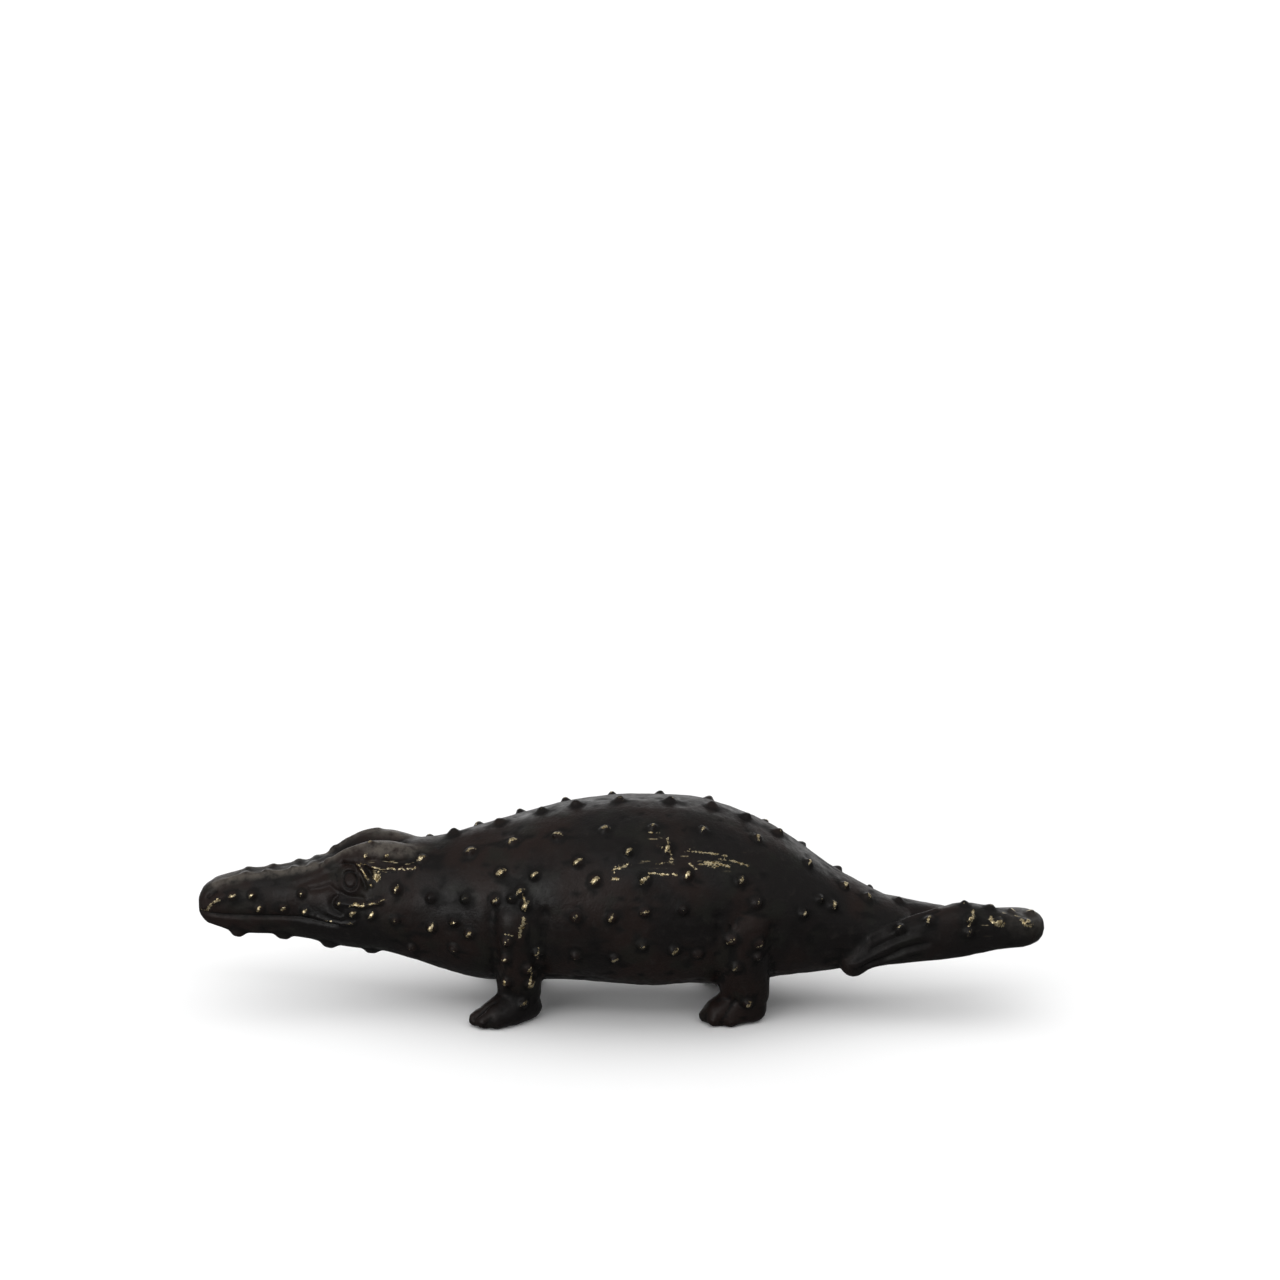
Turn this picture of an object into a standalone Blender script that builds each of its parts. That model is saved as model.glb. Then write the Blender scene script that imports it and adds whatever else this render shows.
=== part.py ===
"""A small cast bronze crocodile that stands on its four feet, studded with rows of raised pellets.

The snout points to -X, the animal's left side faces -Y and the soles lie on Z = 0. The whole
animal is one casting. Its pose and proportions are shares of its length: every number in the
tables below is in hundredths of LENGTH, which UNIT turns into metres.
"""

import math

import bmesh
import bpy
import numpy as np
from mathutils import Vector
from mathutils.bvhtree import BVHTree

# Driving sizes, in metres
LENGTH = 0.168
PELLET_WIDTH = 0.0021
PELLET_HEIGHT = 0.0011
BUMP_WIDTH = 0.0023
BUMP_HEIGHT = 0.0006
LUMP_WIDTH = 0.0038
LUMP_HEIGHT = 0.0015
MOUTH_WIDTH = 0.0012
MOUTH_DEPTH = 0.0006
CROWN_SHARE = 0.5
CROWN_RISE = 0.75
ROOT_SHARE = 1 / 6

UNIT = LENGTH / 100

# Fineness of the surface
RING_SIDES = 28
RING_STEP = 0.7
VOXEL = UNIT / 3
SMOOTHING = 4
SKIN_TRIANGLES = 4000
PELLET_SIDES = 6
EYE_SEGMENTS = (16, 10)
END_ANGLES = (80, 55, 30)
EDGE_ANGLE = 50
FAR = 30

# Head and trunk: place along the animal, top, bottom and half width of its outline
TRUNK = (
    (-0.3, 12.8, 10.7, 0.8),
    (0.3, 13.9, 9.8, 1.5),
    (1.6, 14.8, 9.2, 2.1),
    (4.0, 15.6, 8.5, 2.6),
    (9.6, 16.5, 8.1, 3.1),
    (12.5, 17.1, 7.8, 3.6),
    (15.4, 17.9, 7.2, 4.5),
    (18.7, 18.8, 6.8, 5.5),
    (22.9, 19.6, 6.4, 6.2),
    (25.5, 20.1, 5.6, 6.4),
    (28.0, 20.3, 4.8, 6.9),
    (32.6, 21.6, 3.6, 8.3),
    (36.5, 22.6, 3.5, 9.5),
    (40.2, 23.8, 3.8, 10.4),
    (44.5, 24.7, 3.9, 11.2),
    (49.0, 25.3, 3.6, 11.8),
    (53.2, 25.4, 3.3, 12.0),
    (58.0, 25.2, 3.7, 11.8),
    (61.5, 24.5, 3.6, 11.1),
    (65.0, 23.2, 3.8, 10.1),
    (69.0, 21.1, 4.4, 8.7),
    (74.3, 17.4, 5.0, 6.5),
    (79.8, 14.2, 5.8, 4.5),
    (84.0, 12.3, 7.0, 3.2),
)
TOP_ROUNDNESS = 2.0
BOTTOM_ROUNDNESS = 2.3

# Tail: it goes back, turns and comes forward along the left flank.
# Place along, across and up, then half width and half height
TAIL = (
    (77.0, 0.9, 10.0, 3.6, 3.8),
    (81.5, 1.1, 9.95, 2.9, 3.25),
    (85.4, 1.3, 9.75, 2.4, 2.6),
    (90.5, 1.3, 9.65, 2.2, 1.9),
    (95.0, 1.2, 9.95, 2.15, 1.8),
    (97.3, 0.55, 10.15, 2.05, 1.85),
    (98.0, -0.4, 10.15, 2.0, 1.85),
    (97.2, -1.4, 10.2, 2.05, 1.9),
    (95.4, -1.8, 10.4, 2.1, 2.2),
    (93.0, -2.05, 10.6, 2.15, 2.75),
    (90.0, -2.3, 10.5, 2.15, 3.25),
    (86.5, -2.9, 9.85, 2.05, 2.95),
    (83.0, -3.6, 9.25, 1.9, 2.45),
    (80.0, -3.9, 8.5, 1.75, 2.05),
    (78.2, -4.1, 7.65, 1.65, 1.8),
    (77.3, -4.2, 6.7, 1.55, 1.65),
)
TAIL_TURN = 7

# Left legs, feet and toes, in the same order as the tail; the right ones mirror them
FRONT_LEG = (
    (37.9, -8.1, 13.3, 2.9, 2.6),
    (37.9, -7.4, 8.3, 2.75, 2.5),
    (38.1, -6.0, 3.3, 2.55, 2.2),
)
FRONT_FOOT = (
    (38.9, -5.4, 1.5, 2.0, 1.7),
    (37.2, -7.0, 1.8, 2.3, 2.1),
    (35.4, -8.4, 1.4, 2.2, 1.7),
)
FRONT_TOES = (
    ((35.0, -7.6, 1.4), (32.8, -8.6, 0.9)),
    ((35.2, -8.6, 1.4), (33.6, -9.7, 0.85)),
    ((36.6, -8.6, 1.4), (35.3, -9.7, 0.85)),
)
HIND_LEG = (
    (64.6, -8.6, 12.9, 3.0, 2.5),
    (64.6, -7.4, 7.9, 3.0, 2.4),
    (64.65, -5.7, 3.3, 2.9, 2.2),
)
HIND_FOOT = (
    (65.5, -5.4, 1.5, 2.1, 1.7),
    (63.4, -6.0, 1.8, 2.2, 2.1),
    (61.5, -6.6, 1.4, 2.1, 1.7),
)
HIND_TOES = (
    ((61.8, -5.8, 1.4), (60.1, -6.5, 0.9)),
    ((62.6, -6.8, 1.4), (61.1, -7.8, 0.85)),
    ((64.2, -7.0, 1.4), (63.0, -7.8, 0.85)),
)
TOE_RADIUS = 0.95

# Head: brow ridges, eyes, eye sockets and the line of the mouth
BROW = (
    (15.8, -1.6, 16.6, 1.3, 1.3),
    (17.8, -1.8, 17.6, 1.7, 2.0),
    (20.4, -1.9, 18.4, 1.9, 2.4),
    (22.6, -1.8, 18.6, 1.7, 2.1),
    (24.4, -1.6, 18.2, 1.3, 1.5),
)
EYE = (17.7, -3.3, 16.6)
EYE_RADIUS = 1.1
SOCKET = (17.1, -3.9, 16.5)
SOCKET_HALF = (2.9, 1.6, 1.7)
SOCKET_DEPTH = 0.5
SOCKET_FADE = (0.75, 1.15)
EYE_FADE = (1.05, 1.35)
MOUTH = ((0.0, 10.9), (2.6, 11.1), (11.0, 10.9), (15.0, 10.3), (17.7, 10.2))
MOUTH_FADE = 0.6

# Pellets on head and trunk: place along, and degrees above the left side. All but the spine's
# and the rump's stand on both sides, the right ones a little further back
RIGHT_SHIFT = 0.4
SPINE_ROW = (30.1, 35.6, 40.5, 44.6, 49.6, 55.6, 60.6, 64.5, 68.3)
BACK_PELLETS = (
    (26.6, 61), (32.4, 62), (37.4, 64), (42.7, 62), (48.2, 63), (53.8, 63), (59.6, 62), (36.1, 39),
    (40.1, 32), (45.2, 38), (47.2, 26), (51.1, 44), (53.0, 27), (55.6, 46), (57.9, 30), (64.1, 31),
    (73.3, 36), (74.8, 34),
)
RUMP_PELLETS = (
    (65.9, 68), (71.9, 70), (76.2, 67), (79.0, 67), (66.6, 125), (71.0, 127), (75.3, 130), (79.2, 135),
)
FLANK_PELLETS = (
    (27.8, 20), (31.9, 20), (35.5, 18), (45.0, 3), (49.2, 3), (53.1, 8), (57.5, 9), (66.0, 18),
    (71.4, 17), (27.9, -6), (30.6, 1), (32.4, -7), (25.4, -34), (30.5, -23), (45.0, -25),
    (49.5, -25), (52.8, -14), (56.5, -18), (59.2, -21),
)
HEAD_PELLETS = (
    (4.0, 26), (6.3, 26), (12.3, 24), (23.6, 26), (7.3, 2), (10.0, 2), (12.6, -2), (18.1, -2),
    (20.4, -2), (23.4, -6), (22.4, 54), (20.6, -66),
)
HEAD_SIZE = 0.9
# Soft bumps along the snout and broad lumps under the jaw, in the same terms
SNOUT_BUMPS = ((4.9, 66), (7.7, 66), (10.8, 66), (13.3, 66), (15.4, 66))
JAW_LUMPS = ((4.4, -66), (9.8, -66), (15.3, -66))
# Pellets on the legs and on the tail's side: place along and height
LEG_PELLETS = (
    (38.5, 17.2), (37.5, 16.3), (39.1, 15.7), (36.9, 11.4), (36.7, 9.1), (40.5, 9.8), (39.3, 7.7),
    (36.7, 5.8), (39.5, 5.6), (38.6, 2.9), (63.1, 12.1), (66.3, 11.5), (66.2, 9.8), (63.7, 8.4),
    (65.0, 3.2),
)
TAIL_PELLETS = (
    (82.8, 11.4), (86.2, 12.3), (91.1, 12.5), (90.9, 11.0), (94.3, 12.0), (97.7, 11.7),
)
# Pellets on top of the tail: place along and across
TAIL_TOP_PELLETS = ((82.7, 0.6), (90.0, -2.3), (92.3, -2.0), (95.4, 1.2), (96.8, -0.6))


def spaced(table, step):
    """Rows at even steps along a table, on a smooth curve through the rows of it."""
    rows = np.array(table, dtype=float)
    gaps = np.linalg.norm(np.diff(rows[:, :3], axis=0), axis=1)
    knots = np.concatenate([[0.0], np.cumsum(gaps)])
    slopes = np.gradient(rows, knots, axis=0)
    count = max(2, int(round(knots[-1] / step)) + 1)
    made = []
    for s in np.linspace(0, knots[-1], count):
        k = min(int(np.searchsorted(knots, s, side="right")) - 1, len(rows) - 2)
        gap = knots[k + 1] - knots[k]
        f = (s - knots[k]) / gap
        a = (2 * f**3 - 3 * f**2 + 1) * rows[k] + (f**3 - 2 * f**2 + f) * gap * slopes[k]
        b = (3 * f**2 - 2 * f**3) * rows[k + 1] + (f**3 - f**2) * gap * slopes[k + 1]
        made.append(a + b)
    return np.array(made)


def ring(centre, across, up, width, height, top=2.0, bottom=2.0):
    """Points round a rounded outline: 2 is an ellipse, and more is squarer."""
    points = []
    for k in range(RING_SIDES):
        angle = 2 * math.pi * k / RING_SIDES
        c, s = math.cos(angle), math.sin(angle)
        power = 2 / (top if s > 0 else bottom)
        a = math.copysign(abs(c) ** power, c) * width
        b = math.copysign(abs(s) ** power, s) * height
        points.append(centre + across * a + up * b)
    return points


def loft(rings):
    """A closed body over rings of points, in hundredths of the length."""
    bm = bmesh.new()
    loops = [[bm.verts.new(Vector(p) * UNIT) for p in points] for points in rings]
    for first, second in zip(loops, loops[1:]):
        for k in range(RING_SIDES):
            n = (k + 1) % RING_SIDES
            bm.faces.new((first[k], first[n], second[n], second[k]))
    bm.faces.new(loops[0])
    bm.faces.new(loops[-1])
    bmesh.ops.recalc_face_normals(bm, faces=bm.faces)
    mesh = bpy.data.meshes.new("form")
    bm.to_mesh(mesh)
    bm.free()
    return mesh


def trunk():
    rows = [(x, 0.0, (top + low) / 2, half, (top - low) / 2) for x, top, low, half in TRUNK]
    y, z = np.array((0.0, 1.0, 0.0)), np.array((0.0, 0.0, 1.0))
    rings = []
    for x, _, up, half, tall in spaced(rows, RING_STEP):
        centre = np.array((x, 0.0, up))
        rings.append(ring(centre, y, z, half, tall, TOP_ROUNDNESS, BOTTOM_ROUNDNESS))
    return loft(rings)


def tube(rows, across=None):
    """A round body along a smooth spine, with rounded ends.

    Its width lies along `across`, or level and square to the spine where none is given.
    """
    rows = spaced(rows, RING_STEP)
    tangents = np.gradient(rows[:, :3], axis=0)
    tangents /= np.linalg.norm(tangents, axis=1)[:, None]
    stops = [(0, -angle) for angle in END_ANGLES]
    stops += [(k, 0) for k in range(len(rows))]
    stops += [(-1, angle) for angle in reversed(END_ANGLES)]
    rings = []
    for k, angle in stops:
        row, tangent = rows[k], tangents[k]
        if across is None:
            sideways = np.cross(tangent, (0.0, 0.0, 1.0))
        else:
            sideways = np.array(across) - tangent * np.dot(across, tangent)
        sideways /= np.linalg.norm(sideways)
        upward = np.cross(sideways, tangent)
        shrink = math.cos(math.radians(angle))
        centre = row[:3] + tangent * min(row[3:]) * math.sin(math.radians(angle))
        rings.append(ring(centre, sideways, upward, row[3] * shrink, row[4] * shrink))
    return loft(rings)


def ball(centre, radius):
    bm = bmesh.new()
    bmesh.ops.create_uvsphere(bm, u_segments=EYE_SEGMENTS[0], v_segments=EYE_SEGMENTS[1], radius=radius * UNIT)
    bmesh.ops.translate(bm, verts=bm.verts, vec=Vector(centre) * UNIT)
    mesh = bpy.data.meshes.new("form")
    bm.to_mesh(mesh)
    bm.free()
    return mesh


def left_forms():
    """Legs, feet, toes, brow and eye of the left side."""
    forms = [tube(BROW), ball(EYE, EYE_RADIUS)]
    front = (FRONT_LEG, FRONT_FOOT, FRONT_TOES)
    hind = (HIND_LEG, HIND_FOOT, HIND_TOES)
    for leg, foot, toes in (front, hind):
        forms.append(tube(leg, across=(1.0, 0.0, 0.0)))
        forms.append(tube(foot))
        for toe in toes:
            forms.append(tube([(*place, TOE_RADIUS, TOE_RADIUS) for place in toe]))
    return forms


def joined(meshes, mirrored=()):
    """One mesh of many; the mirrored ones come a second time with Y turned round."""
    bm = bmesh.new()
    for mesh in meshes:
        bm.from_mesh(mesh)
    for mesh in mirrored:
        bm.from_mesh(mesh)
        start = len(bm.verts)
        bm.from_mesh(mesh)
        bm.verts.ensure_lookup_table()
        new = bm.verts[start:]
        for vert in new:
            vert.co.y = -vert.co.y
        faces = {face for vert in new for face in vert.link_faces}
        bmesh.ops.reverse_faces(bm, faces=list(faces))
    mesh = bpy.data.meshes.new("forms")
    bm.to_mesh(mesh)
    bm.free()
    return mesh


def settled(obj):
    """The object's mesh with its modifiers worked in."""
    graph = bpy.context.evaluated_depsgraph_get()
    mesh = bpy.data.meshes.new_from_object(obj.evaluated_get(graph))
    obj.modifiers.clear()
    obj.data = mesh
    return mesh


def placed(name, mesh):
    obj = bpy.data.objects.new(name, mesh)
    bpy.context.scene.collection.objects.link(obj)
    return obj


def faded(values, limits):
    """0 below the first limit, 1 above the second, straight between them."""
    low, high = limits
    return np.clip((values - low) / (high - low), 0, 1)


def carved(mesh):
    """Presses the line of the mouth and the eye sockets into the skin."""
    count = len(mesh.vertices)
    points = np.empty(count * 3)
    normals = np.empty(count * 3)
    mesh.vertices.foreach_get("co", points)
    mesh.vertices.foreach_get("normal", normals)
    points = points.reshape(-1, 3)
    normals = normals.reshape(-1, 3)
    shares = points / UNIT
    line_x, line_z = np.array(MOUTH).T
    line = np.interp(shares[:, 0], line_x, line_z)
    off_line = np.abs(shares[:, 2] - line) * UNIT / (MOUTH_WIDTH / 2)
    corner = (line_x[-1] - MOUTH_FADE, line_x[-1] + MOUTH_FADE)
    depth = MOUTH_DEPTH * np.exp(-(off_line**2)) * (1 - faded(shares[:, 0], corner))
    side = shares * (1, 0, 1) - np.abs(shares) * (0, 1, 0)
    from_socket = np.linalg.norm((side - SOCKET) / SOCKET_HALF, axis=1)
    from_eye = np.linalg.norm(side - EYE, axis=1) / EYE_RADIUS
    rim = (1 - faded(from_socket, SOCKET_FADE)) * faded(from_eye, EYE_FADE)
    depth += SOCKET_DEPTH * UNIT * rim
    points -= normals * depth[:, None]
    mesh.vertices.foreach_set("co", points.ravel())
    mesh.update()


def skin():
    """All forms run together into one smooth body."""
    turn = TAIL_TURN
    base = joined([trunk(), tube(TAIL[:turn]), tube(TAIL[turn - 1:])], left_forms())
    body = placed("crocodile", base)
    remesh = body.modifiers.new("run together", "REMESH")
    remesh.mode = "VOXEL"
    remesh.voxel_size = VOXEL
    smooth = body.modifiers.new("soften", "SMOOTH")
    smooth.iterations = SMOOTHING
    carved(settled(body))
    fewer = body.modifiers.new("fewer faces", "DECIMATE")
    fewer.ratio = SKIN_TRIANGLES / (2 * len(body.data.polygons))
    settled(body)
    return body


def pellet(bm, point, normal, width, height):
    """A low rounded cone standing on the skin."""
    radius = width / 2
    turn = normal.to_track_quat("Z", "X")
    loops = []
    for share, rise in ((1.0, -ROOT_SHARE * width), (CROWN_SHARE, CROWN_RISE * height)):
        loop = []
        for k in range(PELLET_SIDES):
            angle = 2 * math.pi * k / PELLET_SIDES
            local = Vector((math.cos(angle) * radius * share, math.sin(angle) * radius * share, rise))
            loop.append(bm.verts.new(point + turn @ local))
        loops.append(loop)
    tip = bm.verts.new(point + turn @ Vector((0, 0, height)))
    bm.faces.new(reversed(loops[0]))
    for first, second in zip(loops, loops[1:]):
        for k in range(PELLET_SIDES):
            n = (k + 1) % PELLET_SIDES
            bm.faces.new((first[k], first[n], second[n], second[k]))
    for k in range(PELLET_SIDES):
        bm.faces.new((loops[-1][k], loops[-1][(k + 1) % PELLET_SIDES], tip))


def trunk_at(x):
    """Middle height, half height and half width of the trunk at a place along it."""
    rows = np.array(TRUNK)
    top, low, half = (np.interp(x, rows[:, 0], rows[:, k]) for k in (1, 2, 3))
    return (top + low) / 2, (top - low) / 2, half


def trunk_place(x, degrees, side, size):
    """The place of a pellet that looks at the trunk's middle from an angle above its side."""
    middle, tall, half = trunk_at(x)
    out = side * FAR * math.cos(math.radians(degrees)) * half / tall
    up = FAR * math.sin(math.radians(degrees))
    return (x, out, middle + up), (x, 0, middle), *size


def pellet_places():
    """For every pellet: a point well outside the animal, the point it looks at, its width and height."""
    full = (PELLET_WIDTH, PELLET_HEIGHT)
    small = (HEAD_SIZE * PELLET_WIDTH, HEAD_SIZE * PELLET_HEIGHT)
    places = [trunk_place(x, 90, -1, full) for x in SPINE_ROW]
    places += [trunk_place(x, degrees, -1, full) for x, degrees in RUMP_PELLETS]
    groups = (
        (BACK_PELLETS, full),
        (FLANK_PELLETS, full),
        (HEAD_PELLETS, small),
        (SNOUT_BUMPS, (BUMP_WIDTH, BUMP_HEIGHT)),
        (JAW_LUMPS, (LUMP_WIDTH, LUMP_HEIGHT)),
    )
    for side, shift in ((-1, 0), (1, RIGHT_SHIFT)):
        for group, size in groups:
            places += [trunk_place(x + shift, degrees, side, size) for x, degrees in group]
        for x, z in LEG_PELLETS:
            places.append(((x + shift, side * FAR, z), (x + shift, 0, z), *full))
    for x, z in TAIL_PELLETS:
        places.append(((x, -FAR, z), (x, 0, z), *full))
    for x, y in TAIL_TOP_PELLETS:
        places.append(((x, y, FAR), (x, y, 0), *small))
    return places


def pellets(body):
    tree = BVHTree.FromObject(body, bpy.context.evaluated_depsgraph_get())
    bm = bmesh.new()
    for start, end, width, height in pellet_places():
        start, end = Vector(start) * UNIT, Vector(end) * UNIT
        point, normal, _, _ = tree.ray_cast(start, (end - start).normalized())
        pellet(bm, point, normal, width, height)
    mesh = bpy.data.meshes.new("pellets")
    bm.to_mesh(mesh)
    bm.free()
    return placed("pellets", mesh)


def ground():
    """A block under the soles, cut away so that all four stand flat."""
    bm = bmesh.new()
    bmesh.ops.create_cube(bm, size=2 * LENGTH)
    bmesh.ops.translate(bm, vec=(0, 0, -LENGTH), verts=bm.verts)
    mesh = bpy.data.meshes.new("ground")
    bm.to_mesh(mesh)
    bm.free()
    return placed("ground", mesh)


def boolean(body, other, operation):
    cut = body.modifiers.new(operation.lower(), "BOOLEAN")
    cut.operation = operation
    cut.object = other
    settled(body)
    bpy.data.objects.remove(other)


def centred(mesh):
    """Moves the mesh so that the middle of its box stands over the origin."""
    points = np.empty(len(mesh.vertices) * 3)
    mesh.vertices.foreach_get("co", points)
    points = points.reshape(-1, 3)
    middle = (points.min(axis=0) + points.max(axis=0)) / 2
    points -= (middle[0], middle[1], 0)
    mesh.vertices.foreach_set("co", points.ravel())
    mesh.update()


def bronze():
    """Brown, nearly black patina over brass."""
    material = bpy.data.materials.new("bronze")
    material.use_nodes = True
    shader = material.node_tree.nodes["Principled BSDF"]
    shader.inputs["Base Color"].default_value = (0.030, 0.024, 0.021, 1)
    shader.inputs["Metallic"].default_value = 0.7
    shader.inputs["Roughness"].default_value = 0.42
    return material


def main():
    for obj in list(bpy.data.objects):
        bpy.data.objects.remove(obj)
    body = skin()
    boolean(body, pellets(body), "UNION")
    boolean(body, ground(), "DIFFERENCE")
    centred(body.data)
    body.data.materials.clear()
    body.data.materials.append(bronze())
    body.data.shade_smooth()
    body.data.set_sharp_from_angle(angle=math.radians(EDGE_ANGLE))


main()
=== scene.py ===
"""A small cast bronze crocodile, studded with pellets of wax before it was cast, on a pale floor."""

import math

import bmesh
import bpy
import numpy as np
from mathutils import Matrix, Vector
from mathutils.bvhtree import BVHTree


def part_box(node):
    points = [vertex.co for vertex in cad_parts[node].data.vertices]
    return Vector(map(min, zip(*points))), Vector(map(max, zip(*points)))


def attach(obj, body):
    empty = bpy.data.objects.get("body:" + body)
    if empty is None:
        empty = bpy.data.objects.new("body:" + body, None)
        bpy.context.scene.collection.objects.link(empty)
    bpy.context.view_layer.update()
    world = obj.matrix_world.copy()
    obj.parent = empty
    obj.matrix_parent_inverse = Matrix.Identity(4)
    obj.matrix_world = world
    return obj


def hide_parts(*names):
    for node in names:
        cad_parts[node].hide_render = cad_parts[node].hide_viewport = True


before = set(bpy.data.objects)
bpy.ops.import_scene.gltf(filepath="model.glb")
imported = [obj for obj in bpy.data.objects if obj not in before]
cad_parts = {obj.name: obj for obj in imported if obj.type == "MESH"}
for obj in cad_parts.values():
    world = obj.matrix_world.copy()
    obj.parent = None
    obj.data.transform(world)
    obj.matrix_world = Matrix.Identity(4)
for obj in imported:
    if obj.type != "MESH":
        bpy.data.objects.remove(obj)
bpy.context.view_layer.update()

# The animal's length in metres. The tables below are in hundredths of it, measured from the
# snout, from the middle and from the ground
LENGTH = 0.168
UNIT = LENGTH / 100

# Fineness of the surface
RING_SIDES = 32
RING_STEP = 0.5
VOXEL = LENGTH / 290
SMOOTHING = 4
TRIANGLES = 190000
FAR = 30
# The casting's soft waves: height and size in metres, and a seed
WAVES = ((0.00009, 0.009, 3), (0.00003, 0.003, 5))
# The part of the head whose carving keeps all its faces: from, to and above
FACE = (11, 23, 10)

# Head and trunk: place along, top, bottom and half width
TRUNK = (
    (-0.3, 12.8, 10.7, 0.8),
    (0.3, 13.9, 9.8, 1.5),
    (1.6, 14.8, 9.2, 2.1),
    (4.0, 15.6, 8.5, 2.6),
    (9.6, 16.5, 8.1, 3.1),
    (12.5, 17.1, 7.8, 3.6),
    (15.4, 17.9, 7.2, 4.5),
    (18.7, 18.8, 6.8, 5.5),
    (22.9, 19.6, 6.4, 6.2),
    (25.5, 20.1, 5.6, 6.4),
    (28.0, 20.3, 4.8, 6.9),
    (32.6, 21.6, 3.6, 8.3),
    (36.5, 22.6, 3.5, 9.5),
    (40.2, 23.8, 3.8, 10.4),
    (44.5, 24.7, 3.9, 11.2),
    (49.0, 25.3, 3.6, 11.8),
    (53.2, 25.4, 3.3, 12.0),
    (58.0, 25.2, 3.7, 11.8),
    (61.5, 24.5, 3.6, 11.1),
    (65.0, 23.2, 3.8, 10.1),
    (69.0, 21.1, 4.4, 8.7),
    (74.3, 17.4, 5.0, 6.5),
    (79.8, 14.2, 5.8, 4.5),
    (84.0, 12.3, 7.0, 3.2),
)
TOP_ROUNDNESS = 2.0
BOTTOM_ROUNDNESS = 2.3

# Tail: it goes back, turns and comes forward along the left flank.
# Place along, across and up, then half width and half height
TAIL = (
    (77.0, 0.9, 10.0, 3.6, 3.8),
    (81.5, 1.1, 9.95, 2.9, 3.25),
    (85.4, 1.3, 9.75, 2.4, 2.6),
    (90.5, 1.3, 9.65, 2.2, 1.9),
    (95.0, 1.2, 9.95, 2.15, 1.8),
    (97.3, 0.55, 10.15, 2.05, 1.85),
    (98.0, -0.4, 10.15, 2.0, 1.85),
    (97.2, -1.4, 10.2, 2.05, 1.9),
    (95.4, -1.8, 10.4, 2.1, 2.2),
    (93.0, -2.05, 10.6, 2.15, 2.75),
    (90.0, -2.3, 10.5, 2.15, 3.25),
    (86.5, -2.9, 9.85, 2.05, 2.95),
    (83.0, -3.6, 9.25, 1.9, 2.45),
    (80.0, -3.9, 8.5, 1.75, 2.05),
    (78.2, -4.1, 7.65, 1.65, 1.8),
    (77.3, -4.2, 6.7, 1.55, 1.65),
)
TAIL_TURN = 7
TAIL_ROUNDNESS = 2.5

# Left legs, feet and toes, in the same order as the tail
FRONT_LEG = ((37.9, -8.1, 13.3, 2.9, 2.6), (37.9, -7.4, 8.3, 2.75, 2.5), (38.1, -6.0, 3.3, 2.55, 2.2))
FRONT_FOOT = ((38.9, -5.4, 1.5, 2.0, 1.7), (37.2, -7.0, 1.8, 2.3, 2.1), (35.4, -8.4, 1.4, 2.2, 1.7))
HIND_LEG = ((64.6, -8.6, 12.9, 3.0, 2.5), (64.6, -7.4, 7.9, 3.0, 2.4), (64.65, -5.7, 3.3, 2.9, 2.2))
HIND_FOOT = ((65.5, -5.4, 1.5, 2.1, 1.7), (63.4, -6.0, 1.8, 2.2, 2.1), (61.5, -6.6, 1.4, 2.1, 1.7))
TOES = (
    ((35.0, -7.6, 1.4), (33.1, -8.6, 0.9)),
    ((35.2, -8.6, 1.4), (34.1, -9.5, 0.9)),
    ((36.6, -8.6, 1.4), (35.6, -9.5, 0.9)),
    ((61.8, -5.8, 1.4), (60.1, -6.5, 0.9)),
    ((62.6, -6.8, 1.4), (61.1, -7.8, 0.85)),
    ((64.2, -7.0, 1.4), (63.0, -7.8, 0.85)),
)
TOE_RADIUS = 0.9
# What joins the toes of a foot
WEBS = (
    ((33.5, -8.1, 1.1, 1.0, 0.9), (34.4, -8.8, 1.1, 1.1, 0.9), (35.6, -9.2, 1.1, 1.0, 0.9)),
    ((60.7, -6.2, 1.1, 1.0, 0.9), (61.6, -7.1, 1.1, 1.1, 0.9), (63.1, -7.4, 1.1, 1.0, 0.9)),
)
BROW = (
    (13.0, -1.3, 15.9, 0.8, 0.8),
    (15.8, -1.6, 16.6, 1.2, 1.3),
    (17.8, -1.8, 17.4, 1.7, 2.0),
    (20.4, -1.95, 18.1, 2.1, 2.4),
    (22.6, -1.9, 18.3, 2.2, 2.2),
    (24.8, -1.7, 18.1, 2.1, 1.95),
    (27.2, -1.4, 17.6, 1.8, 1.8),
)

# Pellets: place along, degrees above the left side as seen from the trunk's middle, and how much
# bare metal the tip shows
RIGHT_SHIFT = 0.4
RIGHT_WEAR = 0.6
# Weakly rubbed tips show a little more than their number says, and painted shade rings the pellets' feet
TIP_WEAR = 0.6
RING_SHADE = 0.8
SPINE_ROW = (
    (30.1, 0.0), (35.6, 0.1), (40.5, 0.15), (44.6, 0.1), (49.6, 0.2), (55.6, 0.1), (60.6, 0.0),
    (64.5, 0.1), (68.3, 0.1),
)
BACK_PELLETS = (
    (26.6, 57, 0.5), (32.4, 59, 0.7), (37.4, 60.5, 0.7), (42.7, 58.5, 0.7), (48.2, 60, 0.65),
    (53.8, 61, 0.25), (59.6, 62, 0.5), (36.1, 37.5, 0.9), (40.1, 32, 0.9), (45.2, 38, 0.9),
    (47.2, 26, 1.0), (51.1, 44, 0.9), (53.0, 27, 0.9), (55.6, 46, 0.9), (57.9, 30, 0.8),
    (64.1, 31, 0.5), (73.3, 36, 0.2), (74.8, 34, 0.5),
)
RUMP_PELLETS = (
    (65.9, 68, 0.7), (71.9, 70, 0.5), (76.2, 67, 0.8), (79.0, 67, 0.5), (66.6, 125, 0.4),
    (71.0, 127, 0.3), (75.3, 130, 0.4), (79.2, 135, 0.3),
)
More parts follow.
